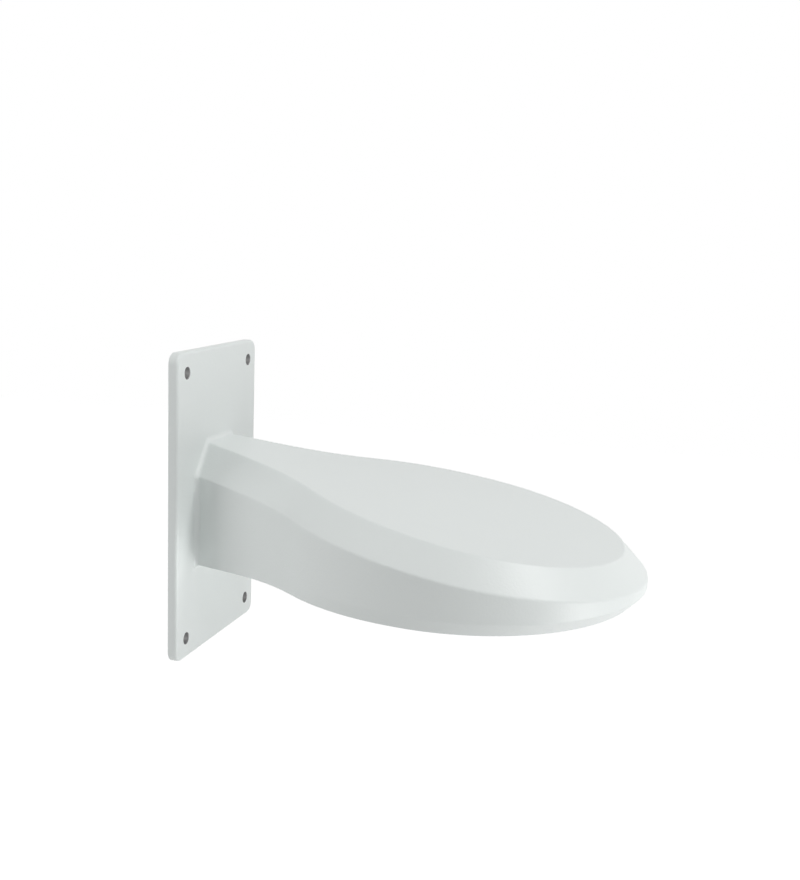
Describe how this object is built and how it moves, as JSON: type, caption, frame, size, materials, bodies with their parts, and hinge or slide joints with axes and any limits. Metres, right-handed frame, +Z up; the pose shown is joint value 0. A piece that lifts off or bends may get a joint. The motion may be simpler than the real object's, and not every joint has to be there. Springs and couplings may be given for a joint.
{
  "type": "camera wall bracket",
  "caption": "Wall bracket for a dome camera: an upright screw plate and a hollow arm that sweeps out into a round downward-facing camera seat.",
  "frame": {"origin": "middle of the plate's flat back face, where it meets the wall", "axes": "+Z up, +Y into the wall along the screws, -Y out along the arm, +X to the right for someone who faces the wall"},
  "size_m": [0.1632, 0.2206, 0.15],
  "materials": {
    "white_powder_coat": "fine white powder coat, semi-matt",
    "bare_aluminium": "drilled and tapped after painting, so the walls of the screw holes are bare metal; visual model only"
  },
  "bodies": {
    "root": {"wall_bracket": "white_powder_coat"}
  },
  "joints": []
}
